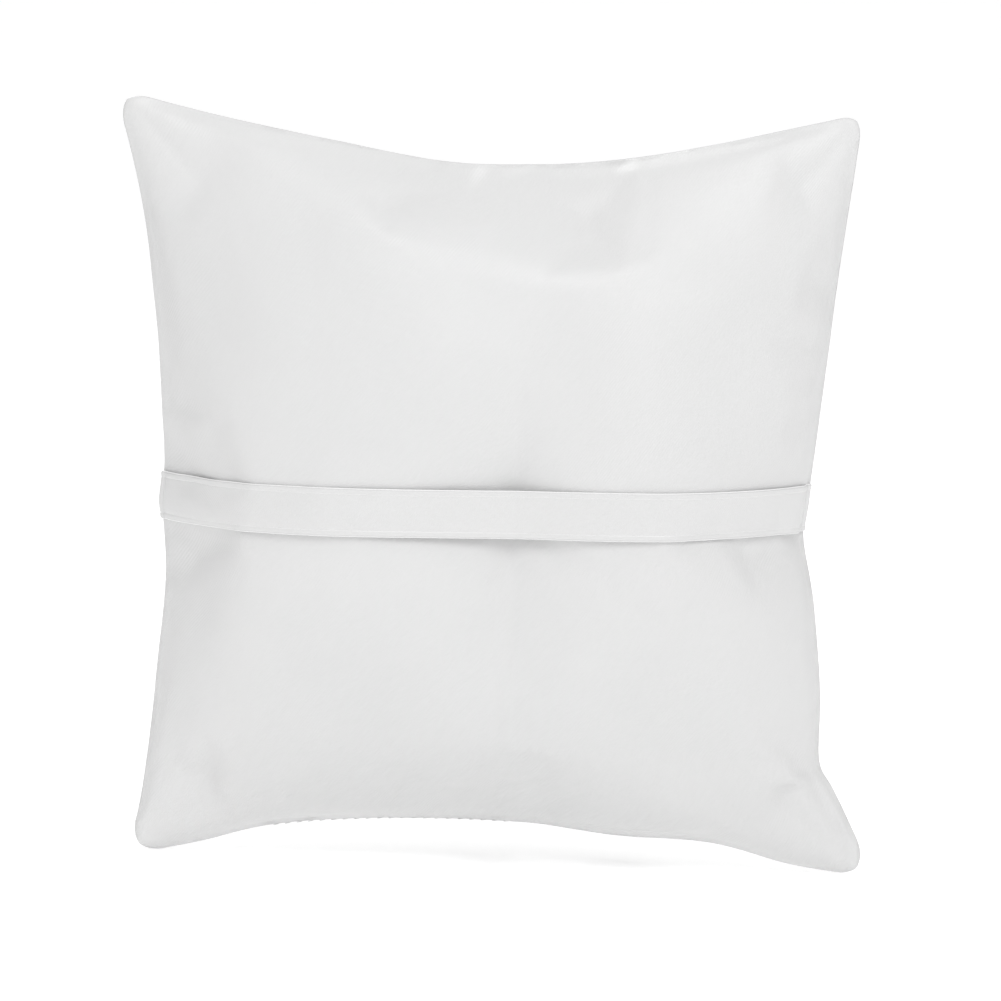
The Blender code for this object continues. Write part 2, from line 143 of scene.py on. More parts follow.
def deselect():
    """Leave editing and select nothing."""
    if bpy.context.object and bpy.context.object.mode != "OBJECT":
        bpy.ops.object.mode_set(mode="OBJECT")
    bpy.ops.object.select_all(action="DESELECT")


def only(piece):
    """Make this piece the one selected and active object."""
    deselect()
    piece.select_set(True)
    bpy.context.view_layer.objects.active = piece


def points_of(piece):
    """The places of the piece's points, one row each."""
    co = np.empty(len(piece.data.vertices) * 3, np.float32)
    piece.data.vertices.foreach_get("co", co)
    return co.reshape(-1, 3).astype(float)


def set_points(piece, co):
    """Move the piece's points."""
    piece.data.vertices.foreach_set("co", co.astype(np.float32).ravel())
    piece.data.update()


def cut_of(piece):
    """Where each point of the piece lies on its flat cloth."""
    data = piece.data.attributes["cut"].data
    out = np.empty(len(data) * 3, np.float32)
    data.foreach_get("vector", out)
    return out.reshape(-1, 3).astype(float)


def add_cut(piece, along_cloth, across_cloth, third):
    """Keep with each point of the piece where it lies on its flat cloth."""
    places = np.column_stack([along_cloth, across_cloth, third])
    layer = piece.data.attributes.new("cut", "FLOAT_VECTOR", "POINT")
    layer.data.foreach_set("vector", places.astype(np.float32).ravel())


def finish_modifier(piece, modifier):
    """Apply the modifier."""
    only(piece)
    bpy.ops.object.modifier_apply(modifier=modifier.name)


def edit_all(piece):
    """Open the piece for editing, all of it selected."""
    only(piece)
    bpy.ops.object.mode_set(mode="EDIT")
    bpy.ops.mesh.select_all(action="SELECT")


def close_edit():
    """Leave editing."""
    bpy.ops.object.mode_set(mode="OBJECT")


def smooth(piece):
    """Shade the piece without hard edges."""
    only(piece)
    bpy.ops.object.shade_smooth()


def subdivide(piece):
    """Give the piece four faces for each one, rounded."""
    modifier = piece.modifiers.new("finer", "SUBSURF")
    modifier.levels = modifier.render_levels = 1
    modifier.boundary_smooth = "ALL"
    finish_modifier(piece, modifier)


def step(x):
    """Smooth step from 0 to 1."""
    x = np.clip(x, 0, 1)
    return x * x * (3 - 2 * x)


def bump(x, middle, width):
    """A rounded rise to 1 at the middle."""
    return np.exp(-((x - middle) / width) ** 2)


# ---------------------------------------------------------------- shape of the cover

def along(points, t):
    """Points at fractions t along a smooth curve through the points, in metres."""
    p = np.array(points, float) * MM
    p = np.vstack([2 * p[0] - p[1], p, 2 * p[-1] - p[-2]])
    marks = np.concatenate([[0], np.cumsum(np.linalg.norm(np.diff(p[1:-1], axis=0), axis=1))])
    reach = np.clip(t, 0, 1) * marks[-1]
    i = np.clip(np.searchsorted(marks, reach, side="right") - 1, 0, len(marks) - 2)
    s = ((reach - marks[i]) / (marks[i + 1] - marks[i]))[:, None]
    a, b, c, d = p[i], p[i + 1], p[i + 2], p[i + 3]
    bend, twist = 2 * a - 5 * b + 4 * c - d, 3 * b - a - 3 * c + d
    return 0.5 * (2 * b + (c - a) * s + bend * s ** 2 + twist * s ** 3)


def round_corners(a, b):
    """Turn the square's corners into quarter rounds."""
    a, b = a.copy(), b.copy()
    for (side, end), size in CORNER_ROUND.items():
        x, y = (side * a - 1 + size) / size, (end * b - 1 + size) / size
        at = (x > 0) & (y > 0)
        x, y = x[at], y[at]
        a[at] = side * (1 - size + size * x * np.sqrt(1 - y ** 2 / 2))
        b[at] = end * (1 - size + size * y * np.sqrt(1 - x ** 2 / 2))
    return a, b


def flat_place(a, b):
    """X and Z of the cloth at a across and b up, each from -1 to 1, inside the four sides."""
    a, b = round_corners(a, b)
    u, v = (a + 1) / 2, (b + 1) / 2
    low, high, left, right = along(BOTTOM, u), along(TOP, u), along(LEFT, v), along(RIGHT, v)
    u, v = u[:, None], v[:, None]
    ends = [np.array(side[k]) * MM for side in (BOTTOM, TOP) for k in (0, -1)]
    corners = (1 - v) * ((1 - u) * ends[0] + u * ends[1]) + v * ((1 - u) * ends[2] + u * ends[3])
    return (1 - v) * low + v * high + (1 - u) * left + u * right - corners


def depth(a, b, side=FRONT):
    """Half thickness of the filled cover at a across and b up."""
    edge = np.maximum(np.abs(a), np.abs(b))
    wide = 1 - RIM_WIDTH
    plump = (np.clip(1 - (a / wide) ** 2, 0, 1) * np.clip(1 - (b / wide) ** 2, 0, 1)) ** FULLNESS
    da, db = a - TACK[0], b - TACK[1] + LOW[side]
    dip_depth, dip_spread = DIMPLE[side]
    dip = dip_depth * np.exp(-(da ** 2 + db ** 2) / dip_spread ** 2)
    valley_depth, valley_width = VALLEY[side]
    valley = valley_depth * bump(da, 0, valley_width) * (1 - b ** 2)
    rim = RIM * (RIM_EDGE + (1 - RIM_EDGE) * step((1 - edge) / (0.6 * RIM_WIDTH)))
    return rim + (CROWN - dip - valley) * plump


def make_panel(name, side):
    """A flat square of satin, its cells closer together near the seam, then domed over the filling."""
    deselect()
    bpy.ops.mesh.primitive_grid_add(
        x_subdivisions=CELLS, y_subdivisions=CELLS, size=2, rotation=(math.pi / 2, 0, 0)
    )
    panel = bpy.context.object
    panel.name = name
    bpy.ops.object.transform_apply(location=False, rotation=True, scale=False)
    if side == FRONT:
        edit_all(panel)
        bpy.ops.mesh.flip_normals()
        close_edit()
    even = points_of(panel)[:, (0, 2)]
    a, b = ((1 - CROWDING) * even + CROWDING * np.sin(math.pi / 2 * even)).T
    place = flat_place(a, b)
    set_points(panel, np.column_stack([place[:, 0], SEAM_Y + side * depth(a, b, side), place[:, 1]]))
    add_cut(panel, a * CUT / 2, b * CUT / 2, np.full(len(a), side) * CUT / 2)
    return panel


def sew(back, front):
    """Join the two panels into one cover and weld them along the seam."""
    only(back)
    front.select_set(True)
    bpy.ops.object.join()
    cover = bpy.context.object
    seam = np.max(np.abs(cut_of(cover)[:, :2]), axis=1) > AT_SEAM * CUT / 2
    co = points_of(cover)
    co[seam, 1] = SEAM_Y
    set_points(cover, co)
    edit_all(cover)
    bpy.ops.mesh.select_all(action="DESELECT")
    close_edit()
    cover.data.vertices.foreach_set("select", seam)
    bpy.ops.object.mode_set(mode="EDIT")
    bpy.ops.mesh.remove_doubles(threshold=WELD)
    close_edit()
    return cover


def hold_still(cover, points):
    """Name the points that the settling doesn't move."""
    held = cover.vertex_groups.new(name="held")
    for i in np.nonzero(points)[0]:
        held.add([int(i)], 1.0, "REPLACE")


def add_cloth(cover):
    """The cover as light cloth with the filling's pressure inside it."""
    cloth = cover.modifiers.new("cloth", "CLOTH")
    settings = cloth.settings
    settings.quality = 8
    settings.mass = 0.15
    settings.tension_stiffness = 25
    settings.compression_stiffness = 20
    settings.shear_stiffness = 8
    settings.bending_stiffness = 0.6
    settings.air_damping = 2
    settings.use_pressure = True
    settings.uniform_pressure_force = 4
    settings.shrink_min = -0.02
    settings.vertex_group_mass = "held"
    settings.effector_weights.gravity = 0
    cloth.collision_settings.use_collision = False
    cloth.point_cache.frame_start, cloth.point_cache.frame_end = 1, SETTLING_STEPS
    return cloth


def relax_filled(cover):
    """Let the filling press the cloth out, so that it puckers along the seam and round the tack."""
    cut = cut_of(cover)[:, :2] / (CUT / 2)
    start = points_of(cover)
    edge = np.max(np.abs(cut), axis=1)
    tack = np.hypot(cut[:, 0] - TACK[0], cut[:, 1] - TACK[1]) < TACK_SIZE
    hold_still(cover, (edge > AT_SEAM) | tack)
    cloth = add_cloth(cover)
    scene = bpy.context.scene
    for number in range(1, SETTLING_STEPS + 1):
        scene.frame_set(number)
    finish_modifier(cover, cloth)
    scene.frame_set(1)
    most = RIM_MOVE + (FREE_MOVE - RIM_MOVE) * step((1 - edge[:, None]) / MOVE_REACH)
    move = points_of(cover) - start
    size = np.linalg.norm(move, axis=1, keepdims=True)
    move *= np.minimum(1, most / np.maximum(size, 1e-9))
    set_points(cover, start + move)


def crease_line(z):
    """X of the crease that the tack pulls down the middle of the back, at each height."""
    heights = np.array([0, 11.5, 58.8, 82, 100.2, 138.6, 200]) * MM
    places = np.array([9.2, 9.0, 3.5, 4.7, 5.4, 7.1, 8.0]) * MM
    return np.interp(z, heights, places)


# Puckers along the seam: side (0 top, 1 bottom, 2 left, 3 right), and in mm the place along it,
# half width, length and depth
PUCKERS = [
    (0, -9.0, 2.2, 13, 0.55), (0, -4.5, 1.6, 9, -0.35), (0, 29.0, 2.4, 15, 0.55), (0, 34.5, 1.8, 11, -0.38),
    (0, 37.5, 1.5, 9, 0.4), (0, -46, 2.5, 8, 0.3), (0, 60, 2.5, 8, 0.3), (0, 13.0, 2.0, 8, 0.35),
    (1, -55.0, 1.6, 6, 0.8), (1, -44.5, 1.4, 5, 0.7), (1, -36.5, 1.5, 6, 0.6), (1, -26, 1.6, 6, 0.45),
    (1, 4.0, 2.0, 12, 0.8), (1, 22, 1.8, 7, 0.5), (1, 34, 2.0, 8, 0.45), (1, 48, 2.0, 8, 0.5),
    (2, 40, 2.2, 8, 0.35), (2, 84, 2.0, 9, 0.5), (2, 103, 2.0, 9, 0.4), (2, 140, 2.5, 8, 0.3),
    (3, 44, 2.2, 10, 0.5), (3, 86, 2.0, 10, 0.6), (3, 104, 2.0, 9, 0.5), (3, 140, 2.5, 8, 0.3),
    (3, 60, 2.0, 8, 0.4),
]
TURNED_EDGE = 1.5 * MM      # no gathers show on the edge that is turned in
GATHER_DEPTH = 0.11 * MM
GATHER_REACH = 4 * MM


def seam_gathers(a, b, x, z):
    """How far the sewing draws the cloth in, all round the edge."""
    inward = np.zeros(len(a))
    sides = {0: (1 - b, x), 1: (1 + b, x), 2: (1 + a, z), 3: (1 - a, z)}
    room = {side: (away * CUT / 2, run) for side, (away, run) in sides.items()}
    for side, place, width, length, size in PUCKERS:
        away, run = room[side]
        near = step(away / TURNED_EDGE) * bump(away, 0, length * MM)
        inward += size * MM * near * bump(run, place * MM, width * MM)
    for side, (away, run) in room.items():
        near = step(away / TURNED_EDGE) * np.exp(-away / GATHER_REACH)
        wave = np.sin(run / (1.35 * MM) + 1.7 * side) + 0.7 * np.sin(run / (2.1 * MM) + 0.9 * side + 1)
        inward += GATHER_DEPTH * near * wave
    return inward


def unevenness(x, z, side):
    """Soft waves of the hand-filled cloth, less than half a millimetre."""
    waves = [(31, 23, 0.4), (-27, 38, 2.1), (17, -21, 4.0), (44, 12, 1.2), (-13, -16, 5.2), (12, 52, 3.3)]
    total = np.zeros(len(x))
    for i, (wide, high, phase) in enumerate(waves):
        size = (0.16 - 0.015 * i) * MM
        total += size * np.sin(2 * x / (wide * MM) + 2 * z / (high * MM) + phase + 1.3 * side)
    return total


def middle_crease(x, z):
    """The crease down the middle of the back, with a thin ridge in it below the strap."""
    off, z = (x - crease_line(z)) / MM, z / MM
    below = step((98 - z) / 10)
    strength_below = 0.45 + 0.75 * step((z - 30) / 45)
    strength_above = 0.9 * step((150 - z) / 46)
    strength = below * strength_below + (1 - below) * strength_above
    crease = strength * 1.9 * np.exp(-np.abs(off) / np.where(off < 0, 8.0, 12.0))
    ridge = below * 0.45 * bump(off, 0, 1.1) * step((88 - z) / 10)
    return (crease - ridge) * MM


def corner_fold(x, z):
    """The slanted fold that runs into the lower right corner of the back."""
    dx, dz = x / MM - 88.0, z / MM - 29.0
    across, up = dx * 0.88 + dz * 0.48, dz * 0.88 - dx * 0.48
    return 1.5 * MM * bump(across, -3.6, 2.4) * step((4 - up) / 6) * step((up + 26) / 10)


def add_folds(cover):
    """Press the seam puckers, and on the back the crease and the corner fold, into the cloth."""
    a, b = cut_of(cover)[:, :2].T / (CUT / 2)
    co = points_of(cover)
    x, z = co[:, 0], co[:, 2]
    side = np.sign(co[:, 1] - SEAM_Y)
    inside = step((1 - np.maximum(np.abs(a), np.abs(b))) / 0.06)
    inward = seam_gathers(a, b, x, z) - unevenness(x, z, side) * inside
    back = side < 0
    inward[back] += ((middle_crease(x, z) + corner_fold(x, z)) * inside)[back]
    thick = np.abs(co[:, 1] - SEAM_Y)
    thinnest = 0.4 * MM
    co[:, 1] -= side * np.minimum(inward, np.maximum(thick - thinnest, 0))
    set_points(cover, co)


def make_cover():
    """The two panels sewn together, filled, settled and creased."""
    cover = sew(make_panel("satin_cover", BACK), make_panel("front_half", FRONT))
    cover.name = cover.data.name = "satin_cover"
    relax_filled(cover)
    subdivide(cover)
    add_folds(cover)
    smooth(cover)
    return cover


def make_filling():
    """The ball of fibre, a little smaller than the cover, its surface lumpy."""
    cuts, reach, inset, thinnest = 35, 0.87, 6.0 * MM, 0.5 * MM
    deselect()
    bpy.ops.mesh.primitive_cube_add(size=2)
    filling = bpy.context.object
    filling.name = filling.data.name = "fibre_ball"
    edit_all(filling)
    bpy.ops.mesh.subdivide(number_cuts=cuts)
    close_edit()
    cube = points_of(filling)
    a, b = reach * cube[:, 0], reach * cube[:, 2]
    place = flat_place(a, b)
    lumps = 0.7 * MM * np.sin(a * 31 + 2 * np.sin(b * 17)) * np.sin(b * 27 + 1.5 * np.sin(a * 13))
    deep = np.maximum(depth(a, b) - inset + lumps, thinnest)
    set_points(filling, np.column_stack([place[:, 0], SEAM_Y + cube[:, 1] * deep, place[:, 1]]))
    smooth(filling)
    return filling


# ---------------------------------------------------------------- ribbons

def surface_finder(piece):
    """A function that gives the Y of the piece's skin at X and Z, on its back or its front."""
    mesh = bmesh.new()
    mesh.from_mesh(piece.data)
    tree = BVHTree.FromBMesh(mesh)
    mesh.free()

    def skin(x, z, side):
        outside = 300 * MM
        hit = tree.ray_cast(Vector((x, side * outside, z)), Vector((0, -side, 0)))[0]
        return SEAM_Y if hit is None else hit.y

    return skin


def flat_ribbon(name, cells, rows):
    """A flat strip of ribbon, and for its points the fraction along it and the place across it.

    It is this many cells long, and has points at these rows across it, from -1 to 1.
    """
    deselect()
    bpy.ops.mesh.primitive_grid_add(x_subdivisions=cells, y_subdivisions=len(rows) - 1, size=2)
    strip = bpy.context.object
    strip.name = strip.data.name = name
    flat = points_of(strip)
    s = (flat[:, 0] + 1) / 2
    w = np.interp(flat[:, 1], np.linspace(-1, 1, len(rows)), rows)
    return strip, s, w


def spread(path, count):
    """The same path with evenly spaced points, and its length."""
    path = np.asarray(path, float)
    marks = np.concatenate([[0], np.cumsum(np.linalg.norm(np.diff(path, axis=0), axis=1))])
    length = marks[-1]
    at = np.linspace(0, length, count)
    return np.column_stack([np.interp(at, marks, column) for column in path.T]), length


def soften(values, passes):
    """The values with their bends rounded off, the more the more passes; the ends stay."""
    values = values.copy()
    for _ in range(passes):
        values[1:-1] = values[1:-1] / 2 + (values[:-2] + values[2:]) / 4
    return values


def thicken(strip, cloth):
    """Give the strip the thickness of its cloth, half to each side, facing outward."""
    modifier = strip.modifiers.new("cloth thickness", "SOLIDIFY")
    modifier.thickness = cloth
    modifier.offset = 0.0
    modifier.use_even_offset = False
    finish_modifier(strip, modifier)
    edit_all(strip)
    bpy.ops.mesh.normals_make_consistent(inside=False)
    close_edit()


# ---------------------------------------------------------------- hand strap

def upper_hull(x, out):
    """The taut line over the points (x, out)."""
    keep = []
    for i in range(len(x)):
        while len(keep) > 1:
            i0, i1 = keep[-2], keep[-1]
            if (out[i1] - out[i0]) * (x[i] - x[i0]) <= (out[i] - out[i0]) * (x[i1] - x[i0]):
                keep.pop()
            else:
                break
        keep.append(i)
    return np.interp(x, x[keep], out[keep])


def seam_edge(points, z):
    """X of the left or right seam at each height."""
    side = along(points, np.linspace(0, 1, 300))
    return np.interp(z, side[:, 1], side[:, 0])


def strap_height(x):
    """Z of the strap's middle line."""
    ends = [seam_edge(LEFT, STRAP_Z[0]), seam_edge(RIGHT, STRAP_Z[1])]
    return np.interp(x, ends, STRAP_Z)


def strap_line(skin):
    """The strap's path across the back, from seam to seam: X and the distance behind the seam."""
    left, right = seam_edge(LEFT, STRAP_Z[0]), seam_edge(RIGHT, STRAP_Z[1])
    x = np.linspace(left + 1.9 * MM, right - 2.3 * MM, 140)
    feel = (-6.2 * MM, -3 * MM, 0, 3 * MM, 6.2 * MM)
    lying = np.array([max(SEAM_Y - skin(px, strap_height(px) + dz, BACK) for dz in feel) for px in x])
    out = soften(STRAP_TAUT * upper_hull(x, lying) + (1 - STRAP_TAUT) * soften(lying, 12), 3)
    out = soften(np.maximum(out, lying) + STRAP_CLEAR, 6)
    turn = [(2.5, 0.0), (1.0, 0.0), (0.3, 0.05), (-0.15, 0.4), (-0.2, 1.0), (0.3, 1.65), (0.9, 2.0)]
    start = [(left + (dx + 0.3) * MM, dy * MM) for dx, dy in turn]
    end = [(right - (dx + 0.7) * MM, dy * MM) for dx, dy in turn[::-1]]
    nearest = 2.3 * MM
    middle = [(px, max(away, nearest)) for px, away in zip(x, out)]
    return np.array(start + middle + end)


# Half of the strap's section: places across it from its edge, and in mm how far they are raised
HEM = [
    (-1, 0.0), (-0.99, 0.09), (-0.97, 0.15), (-0.94, 0.18), (-0.89, 0.18), (-0.84, 0.16),
    (-0.81, 0.12), (-0.79, 0.07), (-0.775, 0.05), (-0.76, 0.05), (-0.74, 0.07), (-0.7, 0.09),
    (-0.55, 0.1), (-0.35, 0.1), (-0.12, 0.1),
]
HEM_ROWS = np.array([row for row, lift in HEM] + [-row for row, lift in HEM[::-1]])
HEM_LIFT = np.array([lift for row, lift in HEM + HEM[::-1]]) * MM


def half_line(line, left_half):
    """Half of the strap's path, evenly spaced and softened, and its length."""
    middle = KNOT_AT.x
    meet = [[middle, np.interp(middle, line[:, 0], line[:, 1])]]
    if left_half:
        half = np.vstack([line[line[:, 0] < middle], meet])
    else:
        half = np.vstack([meet, line[line[:, 0] > middle]])
    path, length = spread(half, 4 * STRAP_CELLS + 1)
    return np.column_stack([soften(column, 8) for column in path.T]), length


def on_path(path, s):
    """At fractions s of the path: its two values, and its outward direction."""
    way = np.gradient(path, axis=0)
    way /= np.linalg.norm(way, axis=1, keepdims=True)
    marks = np.arange(len(path))
    at = s * marks[-1]
    columns = (path[:, 0], path[:, 1], -way[:, 1], way[:, 0])
    return [np.interp(at, marks, column) for column in columns]


def settle(out, lying, from_seam):
    """Let the strap down towards the cover it lies on, most of all a little way in from its seam."""
    near = step((from_seam - 3 * MM) / (6 * MM))
    far = step((from_seam - 25 * MM) / (35 * MM))
    return out - 0.9 * near * (1 - 0.7 * far) * np.clip(out - lying, 0, 3 * MM)


def strap_lift(x, w, from_seam):
    """How far the cloth stands off its path: the folded hems, and slow waves where it is free."""
    free = step(from_seam / (14 * MM))
    long_wave = 0.27 * np.sin(x / (13 * MM) + 1.3 * w + 0.6)
    short_wave = 0.096 * np.sin(x / (6.1 * MM) - 0.9 * w + 2)
    return np.interp(w, HEM_ROWS, HEM_LIFT) + free * (long_wave + short_wave + 0.32) * MM


def make_strap(name, line, left_half, skin):
    """Half of the strap, from its side seam to the middle, its two long edges folded and stitched."""
    path, length = half_line(line, left_half)
    strip, s, w = flat_ribbon(name, STRAP_CELLS, HEM_ROWS)
    x, out, nx, ny = on_path(path, s)
    z = strap_height(x) + w * STRAP_HALF
    seam, height = (LEFT, STRAP_Z[0]) if left_half else (RIGHT, STRAP_Z[1])
    seam_x = seam_edge(seam, height)
    from_seam = np.abs(x - seam_x)
    follow = (1 - step(from_seam / (9 * MM))) * (seam_edge(seam, z) - seam_x)
    lying = np.array([SEAM_Y - skin(px, pz, BACK) for px, pz in zip(x, z)]) + STRAP_CLEAR
    out = settle(out, lying, from_seam)
    lift = strap_lift(x, w, from_seam)
    set_points(strip, np.column_stack([x + nx * lift + follow, SEAM_Y - out - ny * lift, z]))
    add_cut(strip, s * length, w * STRAP_HALF, np.zeros(len(s)))
    thicken(strip, STRAP_CLOTH)
    only(strip)
    bpy.ops.object.shade_smooth_by_angle(angle=math.radians(50))
    return strip, length


# ---------------------------------------------------------------- bow

BOW_ROWS = np.linspace(-1, 1, 21)


def finish_ribbon(strip):
    """Thicken and round a ribbon of the bow."""
    thicken(strip, RIBBON_CLOTH)
    subdivide(strip)
    smooth(strip)


def under_loop(far, side, skin):
    """Y of the pillow's front under a loop, at each distance from the middle of the bow."""
    marks = np.linspace(0, LOOP_LENGTH + 4 * MM, 60)
    base = [
        max(skin(KNOT_AT.x + side * m, KNOT_AT.z + m * LOOP_RISE + dz, FRONT) for dz in RIBBON_FEEL)
        for m in marks
    ]
    base = np.array(base) + 0.7 * MM
    base = soften(np.maximum.accumulate(base) * 0.3 + base * 0.7, 6)
    return np.interp(far, marks, np.maximum(base, KNOT_AT.y - 2.0 * MM))


def make_loop(name, side, skin):
    """One loop of the bow, gathered at the knot, lying on the front of the pillow."""
    strip, s, w = flat_ribbon(name, LOOP_CELLS, BOW_ROWS)
    turn = 2 * math.pi * s
    x = KNOT_AT.x + side * (1.5 * MM + LOOP_LENGTH * (1 - np.cos(turn)) / 2)
    far = np.abs(x - KNOT_AT.x)
    gather = step(far / (20 * MM))
    half = RIBBON_HALF * (0.55 + 0.45 * gather)
    z = KNOT_AT.z + w * half + far * LOOP_RISE + 0.36 * MM * w * gather * np.sin(turn)
    middle = (1 - gather) * 1.2 * MM + gather * 0.47 * LOOP_FULL
    swell = LOOP_FULL / 2 * np.sin(turn) * np.sin(turn / 2) ** 0.8 / 0.80
    y = under_loop(far, side, skin) + np.maximum(middle + swell, 0.15 * MM)
    pleat = (1 - step((far - 2 * MM) / (22 * MM))) * 0.75 * MM * np.cos(w * 2.5 * math.pi + 0.6 * side)
    edge_wave = 0.35 * MM * w ** 2 * np.sin(turn * 2.5 + 0.7 * side) * gather
    front = np.sin(turn) > -0.2
    y += np.where(front, pleat + edge_wave, 0.35 * np.abs(pleat))
    set_points(strip, np.column_stack([x, y, z]))
    along_middle = np.abs(w) < 0.01
    order = np.argsort(s[along_middle])
    path = np.column_stack([x, y])[along_middle][order]
    length = float(np.linalg.norm(np.diff(path, axis=0), axis=1).sum())
    add_cut(strip, s * length, w * RIBBON_HALF, np.zeros(len(s)))
    finish_ribbon(strip)
    return strip, length


def under_tail(hinge, dx, dz, skin):
    """Marks along a tail, and the Y of the pillow's front under it at each."""
    marks = np.linspace(0, TAIL_LENGTH, 50)
    low = []
    for m in marks:
        x, z = hinge.x + dx * (m - TAIL_ABOVE), hinge.z + dz * (m - TAIL_ABOVE)
        low.append(max(skin(x + k, z, FRONT) for k in RIBBON_FEEL))
    low = np.maximum.accumulate(np.array(low)) + 0.75 * MM
    low[marks < TAIL_ABOVE] = hinge.y
    return marks, soften(np.maximum(low, hinge.y), 4)


def make_tail(name, side, skin):
    """One hanging end of the bow, its tip cut to a notch."""
    strip, s, w = flat_ribbon(name, TAIL_CELLS, BOW_ROWS)
    hinge = Vector(HINGES[side])
    run = s * (TAIL_LENGTH - TAIL_NOTCH * (1 - np.abs(w)) * step((s - 0.8) / 0.2))
    gather = step(run / (20 * MM))
    half = RIBBON_HALF * (0.62 + 0.38 * gather)
    dx, dz = side * math.sin(TAIL_SPLAY), -math.cos(TAIL_SPLAY)
    middle_x = hinge.x - side * 1.3 * MM * (1 - gather)
    x = middle_x + dx * (run - TAIL_ABOVE) - w * half * dz
    z = hinge.z + dz * (run - TAIL_ABOVE) + w * half * dx
    y = np.interp(run, *under_tail(hinge, dx, dz, skin))
    sway = (0.55 * np.sin(run / (8.5 * MM) + side) + 0.55) * gather
    curl = 0.9 * step((run - 35 * MM) / (30 * MM)) * w ** 2
    pleat = (1 - step(run / (26 * MM))) * 0.5 * np.cos(w * 2.5 * math.pi)
    y += (sway + curl + pleat) * MM
    set_points(strip, np.column_stack([x, y, z]))
    add_cut(strip, run, w * RIBBON_HALF, np.zeros(len(s)))
    finish_ribbon(strip)
    return strip


def make_knot():
    """A band of ribbon wound once over the middle of the bow, pleated along its winding."""
    knot, s, w = flat_ribbon("bow_knot_wrap", LOOP_CELLS, BOW_ROWS)
    angle = 2 * math.pi * s
    cos, sin = np.cos(angle), np.sin(angle)
    shoulder = 1 - 0.40 * np.abs(w) ** 3.2
    wide_pleat = 0.055 * np.cos(w * 2.3 * math.pi + 0.5 * sin)
    narrow_pleat = 0.03 * np.cos(w * 4.6 * math.pi + cos)
    size = shoulder * (1 + wide_pleat + narrow_pleat)
    x = KNOT_AT.x + w * KNOT[0] / 2 * (1 + 0.08 * np.abs(sin))
    y = KNOT_AT.y + KNOT[1] / 2 * np.sign(cos) * np.abs(cos) ** 0.75 * size
    z = KNOT_AT.z + KNOT[2] / 2 * np.sign(sin) * np.abs(sin) ** 0.85 * size
    set_points(knot, np.column_stack([x, y, z]))
    add_cut(knot, s * KNOT_WINDING, w * RIBBON_HALF, np.zeros(len(w)))
    edit_all(knot)
    bpy.ops.mesh.remove_doubles(threshold=WELD)
    close_edit()
    finish_ribbon(knot)
    return knot


# ---------------------------------------------------------------- stitches

def one_stitch(start, end, radius):
    """A straight piece of thread with rounded ends."""
    start, end = Vector(start), Vector(end)
    deselect()
    bpy.ops.mesh.primitive_cylinder_add(vertices=10, radius=radius, depth=(end - start).length)
    stitch = bpy.context.object
    edit_all(stitch)
    bpy.ops.mesh.bevel(offset=radius * 0.5, segments=2, affect="EDGES")
    close_edit()
    turn = (end - start).to_track_quat("Z", "Y").to_matrix().to_4x4()
    stitch.data.transform(Matrix.Translation((start + end) / 2) @ turn)
    return stitch


def make_stitches(name, stitches, radius):
    """Short straight stitches of thread, given as pairs of ends, in one piece."""
    parts = [one_stitch(start, end, radius) for start, end in stitches]
    deselect()
    for stitch in parts:
        stitch.select_set(True)
    bpy.context.view_layer.objects.active = parts[0]
    bpy.ops.object.join()
    thread = bpy.context.object
    thread.name = thread.data.name = name
    smooth(thread)
    return thread


def closing_stitches():
    """The slanted hand stitches that close the gap in the bottom seam after filling."""
    count, first, spacing, slant, tuck = 21, -54 * MM, 3.0 * MM, 1.3 * MM, 0.34 * MM
    behind, before = 0.45 * MM, 0.6 * MM
    bottom = along(BOTTOM, np.linspace(0, 1, 400))
    stitches = []
    for i in range(count):
        x = first + spacing * i
        z0, z1 = np.interp([x, x + slant], bottom[:, 0], bottom[:, 1]) + tuck
        stitches.append(((x, SEAM_Y - behind, z0), (x + slant, SEAM_Y + before, z1)))
    return make_stitches("closing_stitches", stitches, 0.10 * MM)


def tack_stitches(skin):
    """The stitches through the middle that draw the two panels together."""
    reach, proud, beside = 2.0 * MM, 0.12 * MM, 0.6 * MM
    stitches = []
    for side in (BACK, FRONT):
        for angle in (math.radians(25), math.radians(85), math.radians(145)):
            ends = []
            for way in (-reach, reach):
                x, z = KNOT_AT.x + way * math.cos(angle), KNOT_AT.z + way * math.sin(angle)
                ends.append((x, skin(x, z, side) + side * proud, z))
            stitches.append(tuple(ends))
    for dx in (-beside, beside):
        x, z = KNOT_AT.x + dx, KNOT_AT.z
        stitches.append(((x, skin(x, z, BACK) - 0.1 * MM, z), (x, skin(x, z, FRONT) + 0.1 * MM, z)))
    return make_stitches("tack_stitches", stitches, 0.2 * MM)


# ---------------------------------------------------------------- finishes

def grey(tone):
    """The colour with this much of red, green and blue."""
    return (tone, tone, tone)


def new_finish(name, tone, roughness):
    """A plain white or grey finish, and what is needed to add to it."""
    finish = bpy.data.materials.new(name)
    finish.use_nodes = True
    nodes = finish.node_tree.nodes
    shader = nodes["Principled BSDF"]
    shader.inputs["Base Color"].default_value = (*grey(tone), 1)
    shader.inputs["Roughness"].default_value = roughness
    return finish, nodes, finish.node_tree.links, shader


def scaled(nodes, links, source, scale, turn):
    """Places in the given number of repeats to the metre, turned by these angles."""
    mapping = nodes.new("ShaderNodeMapping")
    mapping.inputs["Scale"].default_value = scale
    mapping.inputs["Rotation"].default_value = turn
    links.new(source, mapping.inputs["Vector"])
    return mapping.outputs["Vector"]


def cloth_place(nodes, links, scale, turn=0.0):
    """Places on the flat cloth."""
    source = nodes.new("ShaderNodeAttribute")
    source.attribute_name = "cut"
    return scaled(nodes, links, source.outputs["Vector"], scale, (0, 0, turn))


